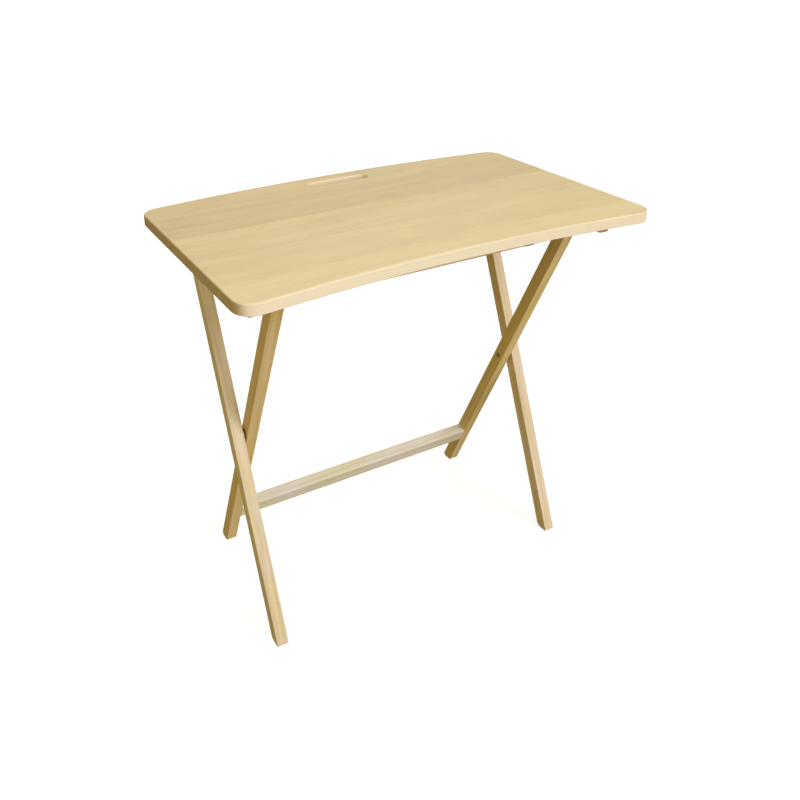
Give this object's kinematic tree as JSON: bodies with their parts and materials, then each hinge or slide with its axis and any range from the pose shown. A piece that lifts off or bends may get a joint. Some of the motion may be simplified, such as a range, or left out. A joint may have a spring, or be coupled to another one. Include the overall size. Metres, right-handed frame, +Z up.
{
  "type": "folding tray table",
  "caption": "Folding wooden tray table with a curved top, a hand slot and crossed legs that close like scissors under a top that tips up.",
  "frame": {"origin": "on the floor under the centre of the top's overall box", "axes": "+X to the right along the length of the top, +Y to the back edge with the hand slot, +Z up"},
  "size_m": [0.702, 0.4246, 0.66],
  "materials": {
    "beech_top": "satin clear lacquer over light beech boards",
    "beech_frame": "satin clear lacquer over light beech",
    "steel": "zinc plated",
    "brass": "plain",
    "nylon_brown": "matte",
    "nylon_white": "matte",
    "plastic_black": "matte"
  },
  "bodies": {
    "outer_frame": {"outer_leg_left": "beech_frame", "outer_leg_right": "beech_frame", "outer_top_bar": "beech_frame", "pivot_bolt_left": "steel", "pivot_bolt_right": "steel", "pivot_washer_left": "steel", "pivot_washer_right": "steel", "pivot_spacer_left": "nylon_brown", "pivot_spacer_right": "nylon_brown", "pivot_insert_left": "brass", "pivot_insert_right": "brass", "hinge_bolt_left": "steel", "hinge_bolt_right": "steel", "hinge_washer_left": "steel", "hinge_washer_right": "steel"},
    "inner_frame": {"inner_leg_left": "beech_frame", "inner_leg_right": "beech_frame", "inner_top_bar": "beech_frame", "lower_rail": "beech_frame", "rail_pegs_left": "beech_frame", "rail_pegs_right": "beech_frame"},
    "table_top": {"top_panel": "beech_top", "hinge_bush_left": "nylon_white", "hinge_bush_right": "nylon_white", "cleat_left": "beech_frame", "cleat_right": "beech_frame", "cleat_screws_left": "steel", "cleat_screws_right": "steel", "catch_left": "plastic_black", "catch_right": "plastic_black", "catch_screws_left": "steel", "catch_screws_right": "steel"}
  },
  "joints": [
    {"name": "leg_fold", "type": "hinge", "parent": "outer_frame", "child": "inner_frame", "pos_m": [0, 0.0085, 0.321], "axis": [-1, 0, 0], "range_deg": [0, 47.13]},
    {"name": "top_tilt", "type": "hinge", "parent": "outer_frame", "child": "table_top", "pos_m": [0, 0.14283, 0.629], "axis": [-1, 0, 0], "range_deg": [0, 113.56]}
  ]
}
